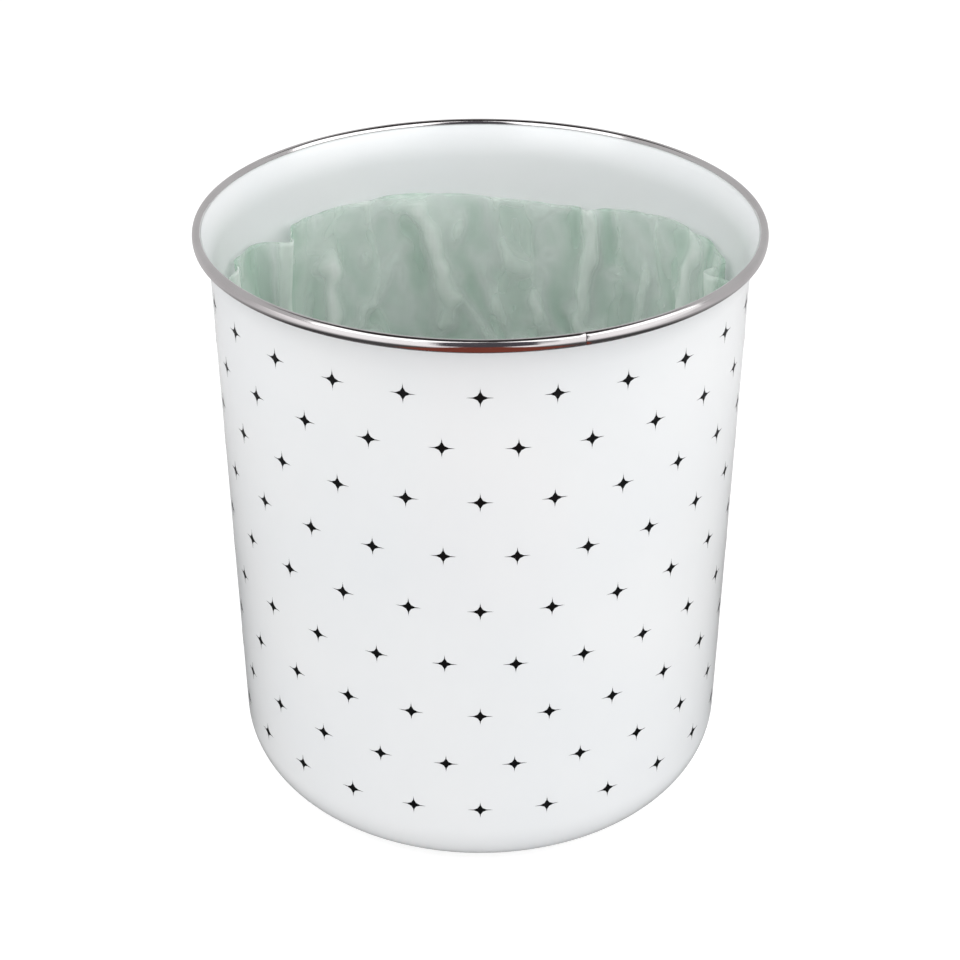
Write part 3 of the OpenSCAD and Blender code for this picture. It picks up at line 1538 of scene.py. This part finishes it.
@dataclass
class Studio:
    """A pale floor, a white surround, soft lamps, and the camera at the photograph's view."""

    middle: Vector = field(default_factory=lambda: Vector((0.0, 0.0, 0.133)))
    eye: Vector = field(default_factory=lambda: Vector((0.0, -0.6987, 0.5228)))
    lens: float = 76.43
    sensor: float = 36.0
    shift: Point = (-0.0003, -0.0283)
    floor_size: float = 12.0
    dark_middle: Point3 = (0.0, -0.2, 0.0)
    dark_reach: Point = (0.34, 0.56)
    dark_share: Point = (0.08, 1.0)
    mirrored_reach: Point = (-0.5, 0.1)
    mirrored_floor: Point = (1.25, 0.62)
    cards: tuple[Card, ...] = (
        Card((0.0, 0.15, 1.25), (0.0, 0.0, 0.0), (1.3, 1.3), (0.035, 0.03, 0.03)),
        Card((0.07, -1.25, 1.2), (90.0, 0.0, 0.0), (0.8, 2.4), (0.085, 0.078, 0.09)),
        Card((0.015, -0.75, 0.002), (0.0, 0.0, 0.0), (0.34, 1.0), (0.24, 0.062, 0.042)),
        Card((-0.8, -1.0, 0.4), (90.0, 0.0, -39.0), (1.0, 0.8), (1.3, 1.3, 1.3)),
        Card((1.1, -0.7, 0.4), (90.0, 0.0, 58.0), (1.5, 0.8), (1.3, 1.3, 1.3)),
    )
    bright: Colour = (1.0, 1.0, 1.0)
    floor_grey: float = 0.8
    shaded_grey: float = 0.38
    floor_glow: float = 0.8
    mirrored_tint: Colour = (1.0, 0.985, 0.99)
    surround: float = 0.43
    mirrored_surround: float = 0.62
    softboxes: tuple[Softbox, ...] = (
        Softbox(-44, 42, 1.3, 1.0, 1.6, 7.4),
        Softbox(60, 40, 1.4, 1.5, 1.6, 11.8),
        Softbox(-100, 20, 1.3, 1.0, 1.0, 2.8, mirrored=False),
        Softbox(100, 5, 1.3, 1.0, 1.0, 2.9, mirrored=False),
        Softbox(0, 82, 1.3, 0.7, 0.7, 4.2, (0.95, 0.95, 1.0), False),
    )

    def build(self) -> None:
        """Build the whole studio."""
        self.camera()
        self.floor()
        for number, card in enumerate(self.cards, 1):
            card.build(number)
        self.world()
        for softbox in self.softboxes:
            softbox.build(self.middle)
        bpy.context.scene.view_settings.view_transform = "Standard"

    def camera(self) -> None:
        """Put the camera at the photograph's view."""
        deselect_all()
        bpy.ops.object.camera_add(location=self.eye)
        camera = bpy.context.object
        camera.rotation_euler = (self.middle - self.eye).to_track_quat("-Z", "Y").to_euler()
        camera.data.sensor_width = self.sensor
        camera.data.lens = self.lens
        camera.data.shift_x, camera.data.shift_y = self.shift
        camera.data.clip_start = 0.01
        bpy.context.scene.camera = camera

    def floor(self) -> None:
        """Lay the floor: white to the camera but for the caddy's shadow, and dark in front in the metal."""
        deselect_all()
        bpy.ops.mesh.primitive_plane_add(size=self.floor_size, location=(0, 0, 0))
        floor = bpy.context.object
        floor.name = "studio_floor"
        material = bpy.data.materials.new("floor_white")
        patch, surface = start_stage(material, "Principled BSDF")
        glow = patch.glow(self.bright, self.floor_glow)
        seen = patch.blend("AddShader", patch.matt(self.shaded_grey), glow)
        looked_at = patch.work("MAXIMUM", patch.ray("Camera"), patch.ray("Transmission"))
        plain = patch.blend("MixShader", looked_at, patch.matt(self.floor_grey), seen)
        place = patch.place()
        away = patch.add("VectorMath", operation="DISTANCE")
        patch.join(place, away.inputs[0])
        away.inputs[1].default_value = self.dark_middle
        share = patch.spread(away.outputs["Value"], self.dark_reach, self.dark_share)
        level = patch.spread(patch.apart(place, "Y"), self.mirrored_reach, self.mirrored_floor)
        mirrored = patch.glow(self.mirrored_tint, patch.product(share, level))
        patch.join(patch.blend("MixShader", patch.ray("Glossy"), plain, mirrored), surface)
        dress(floor, material)

    def world(self) -> None:
        """Surround the scene with white to the camera, with plain soft light, and paler in reflections."""
        world = bpy.data.worlds.new("surround")
        bpy.context.scene.world = world
        patch, surface = start_stage(world, "Background")
        level = patch.spread(patch.ray("Glossy"), UNIT, (self.surround, self.mirrored_surround))
        soft = patch.feed(patch.add("Background"), Color=(*self.bright, 1.0), Strength=level).outputs[0]
        white = patch.feed(patch.add("Background"), Color=(*self.bright, 1.0), Strength=1.0).outputs[0]
        patch.join(patch.blend("MixShader", patch.ray("Camera"), soft, white), surface)


# ---------------------------------------------------------------- the whole


def make(part: Part, *carriers: Piece) -> Piece:
    """Build a sub-assembly's piece, dress it and report it.

    Args:
        part: The sub-assembly.
        carriers: The pieces that it is laid on, if any.

    Returns:
        The piece.
    """
    piece = part.build(*carriers)
    part.dress(piece)
    LOG.info("%s: %d faces", piece.name, len(piece.data.polygons))
    return piece


def main() -> None:
    """Build the caddy piece by piece, then the studio round it."""
    logging.basicConfig(level=logging.INFO, format="%(message)s")
    form = CaddyForm(height=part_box("rim_band")[1].z)
    body = make(EnamelBody(form))
    make(RimBand(form))
    make(StarPrint(form), body)
    make(LinerBag(form, floor=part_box("liner_bag")[0].z))
    Studio().build()


if __name__ == "__main__":
    main()
